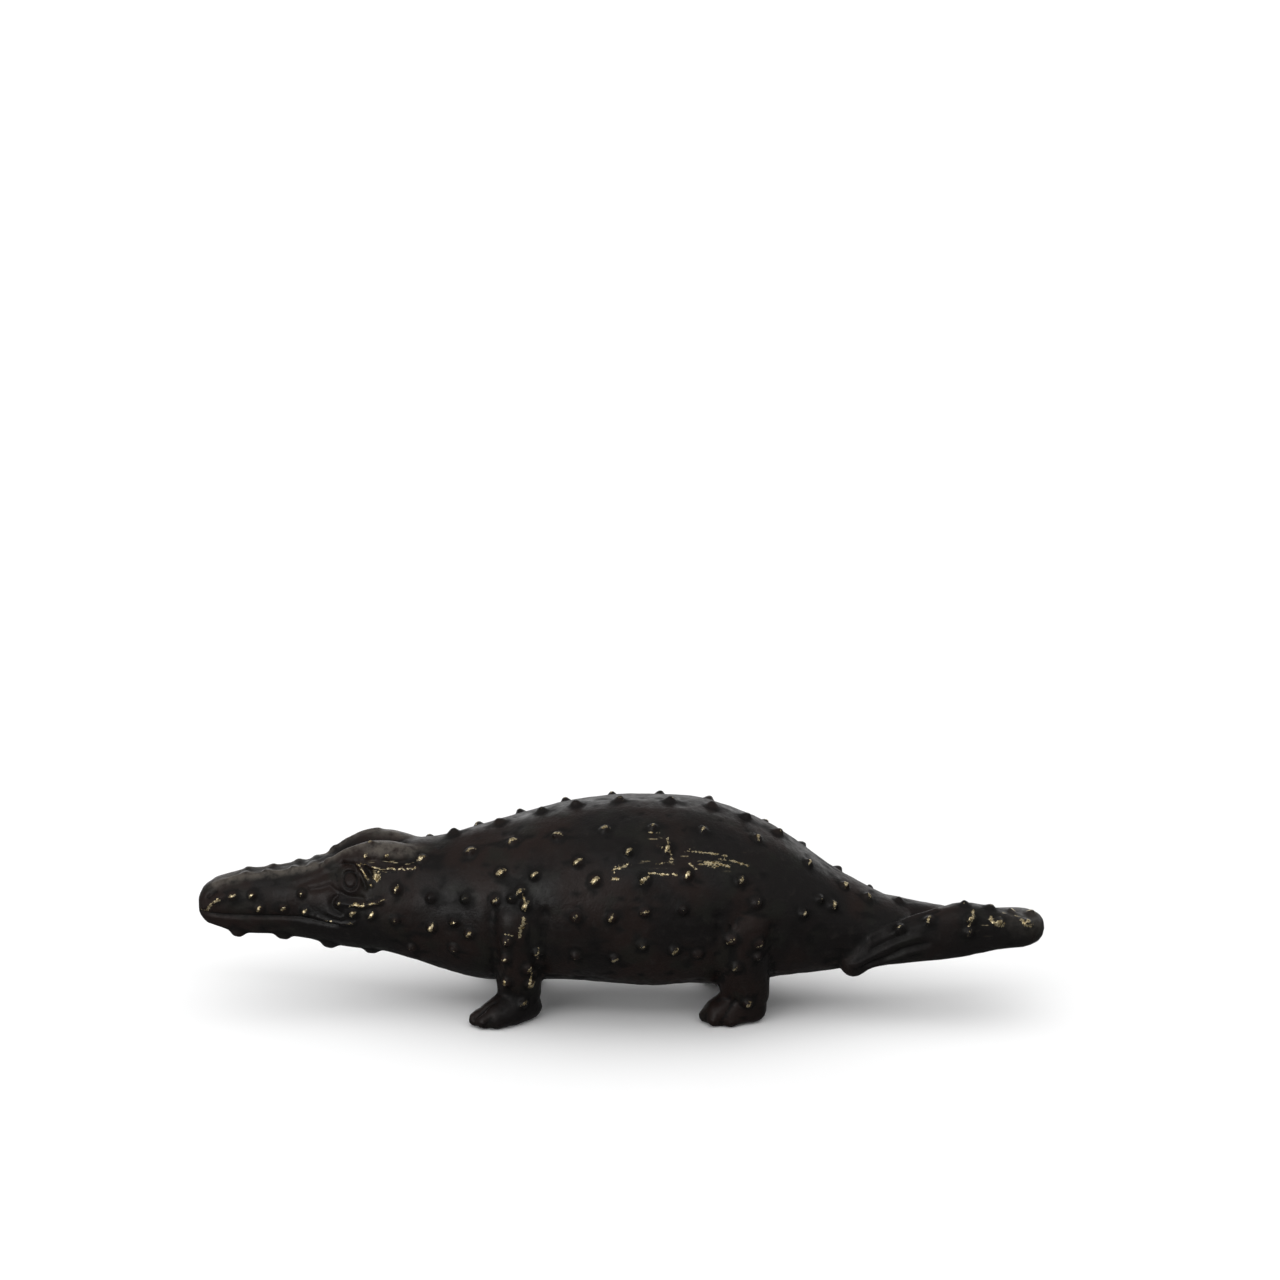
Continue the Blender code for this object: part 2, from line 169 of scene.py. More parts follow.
FLANK_PELLETS = (
    (27.8, 20, 0.1), (31.9, 20, 0.15), (35.5, 18, 0.5), (45.0, 3, 0.25), (49.2, 3, 0.8),
    (53.1, 8, 0.5), (57.5, 9, 0.1), (66.0, 18, 0.1), (71.4, 17, 0.5), (27.9, -6, 0.9),
    (30.6, 1, 0.5), (32.4, -7, 0.5), (25.4, -34, 0.1), (30.5, -23, 0.1), (45.0, -25, 0.1),
    (49.5, -25, 0.9), (52.8, -14, 0.5), (56.5, -18, 0.5), (59.2, -21, 0.15),
)
HEAD_PELLETS = (
    (4.0, 26, 0.7), (6.3, 26, 0.8), (12.3, 24, 0.3), (23.7, 26, 0.7), (7.2, 2, 0.6), (10.1, 2, 0.8),
    (12.7, -2, 0.7), (18.5, 0, 0.9), (20.7, -1, 0.7), (23.5, -6, 0.25),
)
BROW_PELLETS = ((22.5, 58, 0.7), (20.5, 71, 0.4))
SNOUT_BUMPS = ((5.3, 77, 0.0), (8.0, 76, 0.0), (11.2, 77, 0.0), (13.4, 77, 0.0), (15.4, 70, 0.0))
JAW_LUMPS = ((4.4, -66, 0.0), (9.8, -66, 0.0), (15.3, -66, 0.0), (20.4, -66, 0.0))
LEG_PELLETS = (
    (38.5, 17.2, 0.8), (37.5, 16.3, 0.2), (39.1, 15.7, 0.9), (36.9, 11.4, 0.2), (36.7, 9.1, 0.5),
    (40.5, 9.8, 0.4), (39.3, 7.7, 0.3), (36.7, 5.8, 0.5), (39.5, 5.6, 0.9), (38.6, 2.9, 0.4),
    (63.1, 12.1, 0.5), (66.3, 11.5, 0.4), (66.2, 9.8, 0.3), (63.7, 8.4, 0.3), (65.0, 3.2, 0.4),
)
TAIL_PELLETS = (
    (82.8, 11.4, 0.2), (86.2, 12.3, 0.5), (91.1, 12.5, 0.7), (90.9, 11.0, 0.5), (94.3, 12.0, 0.9),
    (97.7, 11.7, 0.8),
)
TAIL_TOP_PELLETS = (
    (82.7, 0.6, 0.1), (90.4, -2.3, 0.1), (93.4, -2.0, 0.2), (96.0, -1.2, 0.3), (98.2, -0.4, 0.4),
)
# Width and height of a pellet, in metres, and how its side falls away
PELLET = (0.0026, 0.0010, 2.6)
SPINE_PELLET = (0.0032, 0.0011, 2.3)
SMALL_PELLET = (0.0022, 0.0008, 2.2)
BROW_PELLET = (0.0020, 0.00045, 2.2)
SNOUT_BUMP = (0.0027, 0.00045, 2.2)
TAIL_BUMP = (0.0026, 0.0008, 2.2)
JAW_LUMP = (0.0042, 0.0009, 3.4)


# The rough forms, run into one skin


def spaced(table, step):
    """Rows at even steps along a table, on a smooth curve through the rows of it."""
    rows = np.array(table, dtype=float)
    gaps = np.linalg.norm(np.diff(rows[:, :3], axis=0), axis=1)
    knots = np.concatenate([[0.0], np.cumsum(gaps)])
    slopes = np.gradient(rows, knots, axis=0)
    made = []
    for s in np.linspace(0, knots[-1], max(2, int(round(knots[-1] / step)) + 1)):
        k = min(int(np.searchsorted(knots, s, side="right")) - 1, len(rows) - 2)
        gap = knots[k + 1] - knots[k]
        f = (s - knots[k]) / gap
        a = (2 * f**3 - 3 * f**2 + 1) * rows[k] + (f**3 - 2 * f**2 + f) * gap * slopes[k]
        b = (3 * f**2 - 2 * f**3) * rows[k + 1] + (f**3 - f**2) * gap * slopes[k + 1]
        made.append(a + b)
    return np.array(made)


def outline(centre, across, up, width, height, top=2.0, bottom=2.0):
    """Points round a rounded outline: 2 is an ellipse, and more is squarer."""
    points = []
    for k in range(RING_SIDES):
        angle = 2 * math.pi * k / RING_SIDES
        c, s = math.cos(angle), math.sin(angle)
        power = 2 / (top if s > 0 else bottom)
        a = math.copysign(abs(c) ** power, c) * width
        b = math.copysign(abs(s) ** power, s) * height
        points.append(Vector(centre + across * a + up * b) * UNIT)
    return points


def lofted(bm, rings):
    """A closed skin: a disc drawn out from ring to ring."""
    disc = bmesh.ops.create_circle(bm, cap_ends=True, segments=RING_SIDES, radius=UNIT)
    end = disc["verts"][0].link_faces[0]
    start = [loop.vert for loop in end.loops]
    for number, places in enumerate(rings):
        if number:
            end = bmesh.ops.extrude_discrete_faces(bm, faces=[end])["faces"][0]
        for loop, place in zip(end.loops, places):
            loop.vert.co = place
    rim = [edge for vert in start for edge in vert.link_edges if edge.is_boundary]
    bmesh.ops.holes_fill(bm, edges=list(set(rim)), sides=0)


def trunk(bm):
    """Head and trunk, lofted through their sections."""
    rows = [(x, 0.0, (top + low) / 2, half, (top - low) / 2) for x, top, low, half in TRUNK]
    y, z = np.array((0.0, 1.0, 0.0)), np.array((0.0, 0.0, 1.0))
    lofted(bm, [
        outline(np.array((x, 0.0, up)), y, z, half, tall, TOP_ROUNDNESS, BOTTOM_ROUNDNESS)
        for x, _, up, half, tall in spaced(rows, RING_STEP)
    ])


def tube(bm, rows, across=None, roundness=2.0):
    """A round body along a smooth spine, with rounded ends."""
    rows = spaced(rows, RING_STEP)
    tangents = np.gradient(rows[:, :3], axis=0)
    tangents /= np.linalg.norm(tangents, axis=1)[:, None]
    stops = [(0, -80), (0, -55), (0, -30)]
    stops += [(k, 0) for k in range(len(rows))]
    stops += [(-1, 30), (-1, 55), (-1, 80)]
    rings = []
    for k, angle in stops:
        row, tangent = rows[k], tangents[k]
        sideways = np.cross(tangent, (0.0, 0.0, 1.0))
        if across is not None:
            sideways = np.array(across) - tangent * np.dot(across, tangent)
        sideways /= np.linalg.norm(sideways)
        upward = np.cross(sideways, tangent)
        shrink = math.cos(math.radians(angle))
        centre = row[:3] + tangent * min(row[3:]) * math.sin(math.radians(angle))
        size = row[3] * shrink, row[4] * shrink
        rings.append(outline(centre, sideways, upward, *size, roundness, roundness))
    lofted(bm, rings)


def rough_body():
    """Trunk, tail and limbs as separate closed skins that run into each other."""
    bm = bmesh.new()
    tube(bm, BROW)
    for leg, foot in ((FRONT_LEG, FRONT_FOOT), (HIND_LEG, HIND_FOOT)):
        tube(bm, leg, across=(1.0, 0.0, 0.0))
        tube(bm, foot)
    for toe in TOES:
        tube(bm, [(*place, TOE_RADIUS, TOE_RADIUS) for place in toe])
    for web in WEBS:
        tube(bm, web)
    bmesh.ops.mirror(bm, geom=bm.verts[:] + bm.edges[:] + bm.faces[:], axis="Y", merge_dist=0.0)
    trunk(bm)
    tube(bm, TAIL[:TAIL_TURN], roundness=TAIL_ROUNDNESS)
    tube(bm, TAIL[TAIL_TURN - 1:], roundness=TAIL_ROUNDNESS)
    bmesh.ops.recalc_face_normals(bm, faces=bm.faces)
    mesh = bpy.data.meshes.new("crocodile_skin")
    bm.to_mesh(mesh)
    bm.free()
    return mesh


def settled(obj):
    """The object's mesh with its modifiers worked in."""
    graph = bpy.context.evaluated_depsgraph_get()
    obj.data = bpy.data.meshes.new_from_object(obj.evaluated_get(graph))
    obj.modifiers.clear()


def run_together(obj):
    """Makes one closed skin of the rough forms and softens their joins."""
    remesh = obj.modifiers.new("run together", "REMESH")
    remesh.mode = "VOXEL"
    remesh.voxel_size = VOXEL
    smooth = obj.modifiers.new("soften", "SMOOTH")
    smooth.factor = 0.5
    smooth.iterations = SMOOTHING
    settled(obj)


# Where the pellets sit


def trunk_place(x, degrees, side, size):
    """A point well outside the trunk, the point of its middle line to look at, and the size."""
    rows = np.array(TRUNK)
    top, low, half = (np.interp(x, rows[:, 0], rows[:, k]) for k in (1, 2, 3))
    middle, tall = (top + low) / 2, (top - low) / 2
    out = side * FAR * math.cos(math.radians(degrees)) * half / tall
    return (x, out, middle + FAR * math.sin(math.radians(degrees))), (x, 0, middle), size


def pellet_places():
    """For every pellet: a point well outside the animal, the point it looks at, size and wear."""
    places = [(*trunk_place(x, 90, -1, SPINE_PELLET), wear) for x, wear in SPINE_ROW]
    places += [(*trunk_place(x, degrees, -1, PELLET), wear) for x, degrees, wear in RUMP_PELLETS]
    places += [(*trunk_place(x, degrees, -1, BROW_PELLET), wear) for x, degrees, wear in BROW_PELLETS]
    groups = (
        (BACK_PELLETS, PELLET),
        (FLANK_PELLETS, PELLET),
        (HEAD_PELLETS, SMALL_PELLET),
        (SNOUT_BUMPS, SNOUT_BUMP),
        (JAW_LUMPS, JAW_LUMP),
    )
    for side, shift, rubbed in ((-1, 0, 1.0), (1, RIGHT_SHIFT, RIGHT_WEAR)):
        for group, size in groups:
            places += [
                (*trunk_place(x + shift, degrees, side, size), wear * rubbed) for x, degrees, wear in group
            ]
        places += [
            ((x + shift, side * FAR, z), (x + shift, 0, z), PELLET, wear * rubbed)
            for x, z, wear in LEG_PELLETS
        ]
    places += [((x, -FAR, z), (x, 0, z), PELLET, wear) for x, z, wear in TAIL_PELLETS]
    places += [((x, y, FAR), (x, y, 0), TAIL_BUMP, wear) for x, y, wear in TAIL_TOP_PELLETS]
    return places


class Seat:
    """One pellet on the skin: where it stands, how it leans and how its tip is worn."""

    def __init__(self, point, normal, size, wear, luck):
        self.point, self.normal = np.array(point), np.array(normal)
        self.width, self.height = size[0] * luck.uniform(0.9, 1.12), size[1] * luck.uniform(0.85, 1.15)
        self.fall = size[2]
        self.wear = wear
        drop = self.normal * self.normal[2] - (0.0, 0.0, 1.0)
        drop /= np.linalg.norm(drop) + 1e-9
        across = np.cross(self.normal, drop)
        angle = math.radians(luck.uniform(15, 75))
        self.stroke = drop * math.sin(angle) - across * math.cos(angle)
        self.aside = np.cross(self.normal, self.stroke)
        self.lean = (drop * luck.uniform(-0.12, 0.12) + across * luck.uniform(-0.12, 0.12)) * self.width

    def around(self, points, reach):
        """Points close to the pellet, and their places along its stroke, aside and up."""
        away = points - self.point
        picked = np.flatnonzero((away * away).sum(axis=1) < (reach * self.width) ** 2)
        away = away[picked]
        return picked, away @ self.stroke, away @ self.aside, away @ self.normal


def seated_pellets(obj):
    """Finds where each pellet meets the skin, by a ray from outside."""
    tree = BVHTree.FromObject(obj, bpy.context.evaluated_depsgraph_get())
    luck = np.random.default_rng(7)
    seats = []
    for start, end, size, wear in pellet_places():
        start, end = Vector(start) * UNIT, Vector(end) * UNIT
        point, normal, _, _ = tree.ray_cast(start, (end - start).normalized())
        seats.append(Seat(point, normal, size, wear, luck))
    return seats


# Carving

# Lines on the left of the head as seen from the side, place along and height, mirrored on the
# right: half width of the stroke and how far it is pressed in (below 0) or raised
HEAD_LINES = (
    # the mouth, its raised corner and the lower lip
    (((-0.5, 11.2), (2.8, 11.25), (6.0, 11.3), (9.5, 11.35), (12.0, 11.4), (14.0, 11.2), (15.4, 11.0),
      (16.6, 10.95)), 0.24, -0.32),
    (((13.0, 12.0), (14.6, 11.72), (15.7, 11.42), (17.0, 11.32), (18.3, 11.45), (18.8, 11.75)), 0.22, 0.18),
    (((2.0, 10.5), (6.0, 10.6), (10.0, 10.65), (13.0, 10.5)), 0.35, 0.05),
    (((15.5, 12.55), (16.4, 12.25), (17.1, 12.15)), 0.3, 0.2),
    # the fold in front of the cheek and the cheek's ridge
    (((16.5, 14.6), (16.05, 14.15), (15.87, 13.57), (16.16, 13.0), (16.9, 12.65)), 0.3, -0.32),
    (((16.7, 13.83), (18.1, 13.85), (19.7, 13.8), (20.6, 14.1), (21.7, 14.45)), 0.3, 0.32),
    # the eye's socket: above, behind and below
    (((11.6, 15.1), (12.98, 15.75), (14.57, 16.4), (16.05, 17.15), (17.1, 18.1)), 0.36, -0.15),
    (((17.3, 18.2), (18.4, 18.15), (19.05, 17.2), (19.75, 16.35), (20.0, 15.8)), 0.28, -0.32),
    (((13.3, 14.9), (14.53, 15.17), (15.58, 15.6), (16.21, 15.2), (17.68, 14.8), (19.6, 14.68)), 0.36, -0.26),
    # the fold behind the eye and the ledge that runs back from it, hollow above
    (((19.15, 18.3), (19.65, 17.6), (20.2, 16.9)), 0.26, 0.32),
    (((20.4, 18.25), (21.9, 17.85), (23.2, 17.98), (24.6, 18.05), (26.2, 18.2)), 0.26, 0.22),
    (((20.6, 18.95), (22.6, 18.75), (24.8, 18.85)), 0.5, -0.28),
    (((20.1, 18.0), (20.7, 17.2)), 0.3, -0.22),
    # the nostril and the snout's creases
    (((0.3, 11.7), (1.3, 12.4), (2.2, 13.1), (3.0, 13.5)), 0.28, 0.2),
    (((1.0, 13.1), (1.9, 13.9)), 0.24, -0.3),
    (((11.0, 16.0), (12.6, 16.6), (14.2, 17.1)), 0.3, -0.16),
    (((6.5, 14.6), (9.0, 15.1), (11.0, 15.3)), 0.4, -0.1),
)
# Round touches: place along and height, radius, height of the touch, wear
HEAD_DOTS = (
    (21.3, 17.2, 0.5, 0.4, 1.0),
    (20.66, 16.2, 0.3, 0.25, 0.6),
    (16.75, 13.85, 0.35, 0.2, 0.5),
    (19.9, 19.3, 0.3, 0.15, 0.6),
)
# Lines in space on the left, place along, across and up, with the same two sizes: the brow's
# crest and the toes, which the right side mirrors, then the folded tail's edges
CREST = (
    (1.8, -0.9, 14.5), (4.3, -0.9, 15.45), (6.9, -0.95, 15.85), (9.5, -1.0, 16.2), (11.9, -1.1, 16.7),
    (14.0, -1.35, 17.2), (16.2, -1.75, 18.5), (17.5, -2.0, 19.5), (19.0, -2.3, 20.1), (21.0, -2.4, 20.6),
)
MIRRORED_LINES = (
    (CREST, 0.38, 0.2),
    (((33.0, -9.3, 1.2), (34.1, -9.0, 2.3), (35.3, -8.6, 3.0)), 0.3, -0.3),
    (((34.2, -10.1, 0.6), (34.9, -9.9, 1.5), (36.2, -9.4, 2.4)), 0.3, -0.28),
    (((60.5, -7.3, 1.2), (61.3, -7.2, 2.3), (62.4, -6.9, 3.2)), 0.3, -0.2),
    (((61.9, -8.3, 0.7), (62.5, -8.2, 2.0), (63.6, -7.8, 3.4)), 0.34, -0.24),
)
TAIL_LINES = (
    (((79.2, -5.0, 10.4), (81.6, -3.9, 11.7), (84.3, -3.3, 12.3), (87.0, -2.8, 13.0)), 0.4, 0.3),
    (((77.6, -5.6, 7.2), (80.5, -5.7, 8.8), (82.8, -5.6, 10.0), (85.0, -5.3, 10.6)), 0.35, 0.25),
    (((78.6, -5.6, 6.9), (81.2, -5.7, 8.0), (83.4, -5.6, 9.2), (86.0, -5.3, 9.8)), 0.35, -0.3),
    (((79.4, -5.4, 6.6), (81.4, -5.5, 7.4), (83.9, -5.5, 8.6), (86.6, -5.2, 9.2)), 0.35, 0.22),
    (((79.6, -5.5, 9.2), (81.4, -5.5, 10.2), (83.4, -5.2, 11.0)), 0.35, -0.25),
)
# Where the upper legs leave the flank: lines of the side view
LEG_LINES = (
    (((35.2, 16.0), (35.0, 12.5), (35.3, 8.5), (35.6, 5.5)), 0.7, -0.35),
    (((41.2, 15.0), (41.0, 11.0), (40.9, 7.0)), 0.7, -0.35),
    (((61.6, 15.0), (61.5, 11.0), (61.4, 6.5)), 0.7, -0.3),
    (((68.0, 13.0), (67.9, 9.0), (67.8, 6.0)), 0.7, -0.25),
)
EYE = (18.2, 16.45)
EYE_HALF = (1.0, 1.1)


def from_line(points, path):
    """How far points lie from a line through the path's points, in the plane or in space."""
    best = np.full(len(points), 1e9)
    path = np.array(path, dtype=float)
    for a, b in zip(path, path[1:]):
        ab = b - a
        t = np.clip((points - a) @ ab / (ab @ ab), 0, 1)
        best = np.minimum(best, np.linalg.norm(points - a - t[:, None] * ab, axis=1))
    return best


def smooth_step(low, high, values):
    """0 below low, 1 above high and a smooth rise between them."""
    t = np.clip((values - low) / (high - low), 0, 1)
    return t * t * (3 - 2 * t)


def vertex_table(mesh, name):
    """A three-number value of every point of the mesh, as rows."""
    values = np.empty(len(mesh.vertices) * 3)
    mesh.vertices.foreach_get(name, values)
    return values.reshape(-1, 3)


def moved(mesh, points):
    """Puts the points of the mesh at new places."""
    mesh.vertices.foreach_set("co", points.ravel())
    mesh.update()


def line_lift(points, normals):
    """How far the drawn lines raise or sink each point, in hundredths of the length."""
    lift = np.zeros(len(points))
    side = points[:, (0, 2)]
    facing = smooth_step(0.1, 0.4, np.abs(normals[:, 1]))
    for lines, near in ((HEAD_LINES, points[:, 0] < 28), (LEG_LINES, points[:, 0] > 28)):
        for path, half, height in lines:
            picked = np.flatnonzero(near)
            lift[picked] += height * np.exp(-((from_line(side[picked], path) / half) ** 2)) * facing[picked]
    for x, z, radius, height, _ in HEAD_DOTS:
        away = np.linalg.norm(side - (x, z), axis=1)
        lift += height * np.exp(-((away / radius) ** 2)) * facing
    left = points * (1, 0, 1) - np.abs(points) * (0, 1, 0)
    for path, half, height in MIRRORED_LINES:
        lift += height * np.exp(-((from_line(left, path) / half) ** 2))
    for path, half, height in TAIL_LINES:
        lift += height * np.exp(-((from_line(points, path) / half) ** 2))
    return lift


def eye_lift(points, normals):
    """A ball in its socket: a low dome, a ring round it and a raised rim, higher behind."""
    away = (points[:, (0, 2)] - EYE) / EYE_HALF
    out = np.hypot(away[:, 0], away[:, 1])
    behind = 0.5 + 0.5 * away[:, 0] / np.maximum(out, 0.01)
    lift = 0.16 * np.sqrt(np.clip(1 - (out / 1.6) ** 2, 0, 1))
    lift += 0.24 * np.sqrt(np.clip(1 - (out / 0.74) ** 2, 0, 1))
    lift -= 0.12 * np.exp(-(((out - 0.82) / 0.15) ** 2))
    lift += (0.04 + 0.15 * behind) * np.exp(-(((out - 1.13) / 0.2) ** 2))
    return lift * smooth_step(0.1, 0.4, np.abs(normals[:, 1])) * (points[:, 0] < 24)


def pellet_lift(points, seats):
    """Displacement by the pellets: low cones with rounded tips, each leaning its own way."""
    lift = np.zeros_like(points)
    for seat in seats:
        picked, along, aside, up = seat.around(points, 1.3)
        out = np.hypot(along, aside)
        rise = np.exp(-((out / (0.38 * seat.width)) ** seat.fall)) * (np.abs(up) < seat.width)
        lift[picked] += rise[:, None] * (seat.height * seat.normal + rise[:, None] * seat.lean)
    return lift


def split(mesh, near):
    """Splits the edges whose two ends are near."""
    bm = bmesh.new()
    bm.from_mesh(mesh)
    bm.verts.ensure_lookup_table()
    edges = [edge for edge in bm.edges if near[edge.verts[0].index] and near[edge.verts[1].index]]
    bmesh.ops.subdivide_edges(bm, edges=edges, cuts=1, use_grid_fill=True)
    bmesh.ops.triangulate(bm, faces=[face for face in bm.faces if len(face.verts) > 4])
    bm.to_mesh(mesh)
    bm.free()


def close_to(points, seats, reach):
    """Which points lie near a pellet; reach counts in pellet widths."""
    near = np.zeros(len(points), dtype=bool)
    for seat in seats:
        near[seat.around(points, reach)[0]] = True
    return near


def refined(mesh, seats):
    """Splits the faces round the pellets, along the drawn lines and under worn strokes, twice."""
    for reach, least in ((0.95, 0.02), (0.5, 0.1)):
        points = vertex_table(mesh, "co")
        normals = vertex_table(mesh, "normal")
        fine = np.abs(line_lift(points / UNIT, normals)) + np.abs(eye_lift(points / UNIT, normals))
        fine += worn_strokes(points[:, (0, 2)] / UNIT, normals)
        split(mesh, close_to(points, seats, reach) | (fine > least))


def worn_strokes(side, normals):
    """How much bare metal the strokes on the left show at each point of the side view."""
    worn = np.zeros(len(side))
    for path, half, strength in WORN_LINES:
        worn = np.maximum(worn, strength * np.exp(-((from_line(side, path) / half) ** 2)))
    for x, z, radius, _, strength in HEAD_DOTS:
        away = np.linalg.norm(side - (x, z), axis=1)
        worn = np.maximum(worn, strength * np.exp(-((away / radius) ** 2)))
    return worn * (normals[:, 1] < -0.1)


def unevenness(points, size, seed):
    """Soft random waves over space, about 1 high, of a given size in metres."""
    waves = np.random.default_rng(seed)
    total = np.zeros(len(points))
    for _ in range(14):
        way = waves.normal(size=3)
        way *= 2 * math.pi / (size * np.linalg.norm(way) * waves.uniform(0.7, 1.4))
        total += np.sin(points @ way + waves.uniform(0, 2 * math.pi))
    return total / math.sqrt(14)


def grounded(mesh):
    """Cuts the feet flat at the ground and closes the soles."""
    bm = bmesh.new()
    bm.from_mesh(mesh)
    geometry = bm.verts[:] + bm.edges[:] + bm.faces[:]
    bmesh.ops.bisect_plane(bm, geom=geometry, plane_co=(0, 0, 0), plane_no=(0, 0, -1), clear_outer=True)
    bmesh.ops.holes_fill(bm, edges=[edge for edge in bm.edges if edge.is_boundary], sides=0)
    bmesh.ops.triangulate(bm, faces=[face for face in bm.faces if len(face.verts) > 4])
    bm.to_mesh(mesh)
    bm.free()


def trimmed(mesh):
    """Takes off any sliver that hangs on the skin by one edge."""
    bm = bmesh.new()
    bm.from_mesh(mesh)
    slivers = [face for face in bm.faces if sum(edge.is_boundary for edge in face.edges) > 1]
    bmesh.ops.delete(bm, geom=slivers, context="FACES")
    bm.to_mesh(mesh)
    bm.free()


def thinned(body, seats):
    """Fewer faces on the plain skin, and all of them kept on the pellets and in the carving."""
    mesh = body.data
    points = vertex_table(mesh, "co")
    plain = body.vertex_groups.new(name="plain")
    start, end, bottom = (UNIT * place for place in FACE)
    face = (points[:, 0] > start) & (points[:, 0] < end) & (points[:, 2] > bottom)
    strokes = worn_strokes(points[:, (0, 2)] / UNIT, vertex_table(mesh, "normal")) > 0.1
    kept = close_to(points, seats, 0.5) | face | strokes
    plain.add([int(k) for k in np.flatnonzero(~kept)], 1.0, "REPLACE")
    triangles = sum(len(face.vertices) - 2 for face in mesh.polygons)
    fewer = body.modifiers.new("fewer faces", "DECIMATE")
    fewer.ratio = min(1.0, TRIANGLES / triangles)
    fewer.vertex_group = plain.name
    fewer.vertex_group_factor = 1.0
    settled(body)
    trimmed(body.data)
    body.vertex_groups.clear()


def sculpted():
    """The whole animal, from its rough forms to its last stroke."""
    body = bpy.data.objects.new("crocodile_bronze", rough_body())
    bpy.context.scene.collection.objects.link(body)
    run_together(body)
    seats = seated_pellets(body)
    refined(body.data, seats)
    mesh = body.data
    points = vertex_table(mesh, "co")
    normals = vertex_table(mesh, "normal")
    lift = line_lift(points / UNIT, normals) + eye_lift(points / UNIT, normals)
    wobble = sum(height * unevenness(points, size, seed) for height, size, seed in WAVES)
    moved(mesh, points + normals * (lift * UNIT + wobble)[:, None] + pellet_lift(points, seats))
    grounded(mesh)
    thinned(body, seats)
    return body, seats


def set_down(body, seats):
    """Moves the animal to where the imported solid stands, and returns by how much."""
    low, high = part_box("crocodile")
    points = vertex_table(body.data, "co")
    middle = (points.min(axis=0) + points.max(axis=0)) / 2
    shift = np.array(((low.x + high.x) / 2 - middle[0], (low.y + high.y) / 2 - middle[1], 0.0))
    moved(body.data, points + shift)
    for seat in seats:
        seat.point = seat.point + shift
    return shift


# Wear, painted shade and painted highlight

# Strokes of bare metal on the left, as seen from the side: path, half width, strength
WORN_LINES = (
    (((0.1, 11.3), (0.9, 11.5), (1.1, 12.1), (1.5, 12.6), (2.3, 13.1)), 0.2, 0.66),
    (((18.95, 18.3), (19.3, 18.25), (19.45, 17.85), (19.8, 17.45), (20.0, 17.05), (20.3, 16.8)), 0.18, 0.66),
    (((19.4, 18.4), (20.2, 18.3)), 0.1, 0.5),
    (((20.6, 18.2), (21.3, 18.1), (21.9, 17.85)), 0.12, 0.5),
    (((21.3, 17.5), (21.7, 17.9), (22.3, 17.9), (22.9, 18.1), (23.4, 17.95)), 0.16, 0.66),
    (((23.9, 18.0), (24.3, 18.15), (24.6, 17.95)), 0.13, 0.6),
    (((24.9, 18.1), (25.4, 18.0), (25.9, 18.3)), 0.12, 0.56),
    (((18.2, 13.75), (18.8, 14.0), (19.4, 13.8), (19.8, 13.95)), 0.2, 0.68),
    (((20.4, 14.05), (20.9, 14.3), (21.5, 14.2)), 0.14, 0.6),
    (((21.6, 14.5), (22.3, 14.7)), 0.12, 0.58),
    (((15.2, 11.55), (17.0, 11.35), (18.4, 11.5)), 0.2, 0.24),
    (((38.7, 17.0), (39.2, 15.9), (39.0, 15.2)), 0.18, 0.62),
    (((38.9, 14.2), (38.6, 13.1), (38.3, 11.9)), 0.24, 0.66),
    (((36.5, 12.3), (37.6, 12.2)), 0.14, 0.5),
    (((40.6, 10.6), (40.4, 8.9)), 0.18, 0.5),
    (((39.7, 7.0), (39.4, 5.2)), 0.2, 0.6),
    (((53.3, 23.7), (54.7, 23.7)), 0.1, 0.52),
    (((54.2, 22.6), (55.0, 22.5)), 0.1, 0.52),
    (((55.5, 23.2), (55.8, 22.4), (56.1, 21.4)), 0.14, 0.62),
    (((54.3, 21.0), (56.1, 21.1)), 0.11, 0.6),
    (((53.5, 20.1), (54.6, 20.05), (55.7, 19.9)), 0.14, 0.72),
    (((49.4, 20.3), (50.3, 20.6), (51.1, 20.9)), 0.12, 0.6),
    (((49.3, 19.4), (50.1, 19.4)), 0.12, 0.6),
    (((58.1, 22.1), (59.9, 21.85), (61.5, 21.6)), 0.1, 0.6),
    (((59.9, 21.0), (61.4, 20.75), (62.8, 20.3)), 0.14, 0.8),
    (((61.6, 21.15), (63.2, 20.75), (64.9, 20.1)), 0.1, 0.66),
    (((59.9, 20.8), (61.4, 20.5)), 0.09, 0.52),
    (((58.2, 20.9), (59.0, 20.4)), 0.14, 0.6),
    (((56.2, 20.0), (56.8, 19.9)), 0.14, 0.6),
    (((91.4, 13.3), (91.2, 12.6), (90.9, 11.8)), 0.2, 0.62),
    (((93.4, 12.5), (94.2, 11.9), (94.9, 11.8)), 0.3, 0.6),
    (((94.6, 13.2), (95.6, 13.5), (96.6, 13.1)), 0.2, 0.62),
    (((97.0, 12.2), (97.6, 11.6), (98.3, 11.3)), 0.26, 0.62),
)
# Where the skin is scratched: middle, half sizes and strength
SCRATCHED = (
    ((54.6, -8.5, 22.0), (2.8, 3.0, 2.6), 0.7),
    ((60.5, -8.3, 21.2), (4.4, 3.0, 1.2), 0.7),
    ((23.0, -4.0, 18.2), (3.2, 2.5, 1.0), 0.6),
    ((94.5, -3.0, 12.0), (4.4, 3.0, 1.3), 0.6),
)
# Where the patina is thin and lighter, on both sides: a painted highlight on the brow and skull top, and real
# handling at the tail's end
POLISHED_AND_HIGHLIT = (
    ((18.5, -2.3, 19.8), (3.6, 1.0, 1.2), 0.5),
    ((23.0, -2.6, 20.2), (4.5, 2.4, 1.5), 1.0),
    ((97.0, -1.0, 11.5), (6.0, 4.0, 2.0), 0.2),
)
# Painted shade between the brows, where shade falls
BROW_SHADE = (((18.2, 0.0, 18.0), (6.4, 2.1, 2.7), 1.0),)


